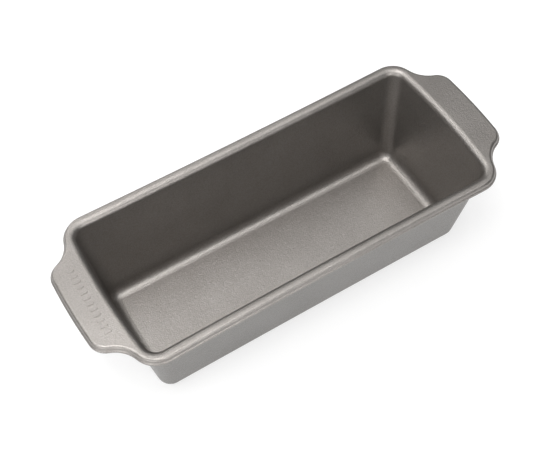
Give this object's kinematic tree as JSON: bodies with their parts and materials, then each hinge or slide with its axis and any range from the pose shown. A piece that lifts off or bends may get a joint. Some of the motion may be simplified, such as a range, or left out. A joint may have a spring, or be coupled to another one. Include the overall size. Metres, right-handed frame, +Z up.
{
  "type": "loaf pan",
  "caption": "Long loaf pan of pressed non-stick steel: sloping walls, flared lip, flat grip tab at each end, rim rolled round a wire.",
  "frame": {"origin": "centre of the flat underside of the floor, on the surface the pan stands on", "axes": "+X along the length, away from the ribbed grip tab; +Y across the width; +Z up, out of the mouth"},
  "size_m": [0.3048, 0.1204, 0.0764],
  "materials": {
    "coated_steel": "satin warm grey non-stick coating with a fine pebble, over pressed carbon steel",
    "rim_wire_steel": "plain drawn steel wire, hidden inside the rolled rim"
  },
  "bodies": {
    "root": {"pan_shell": "coated_steel", "rim_wire": "rim_wire_steel"}
  },
  "joints": []
}
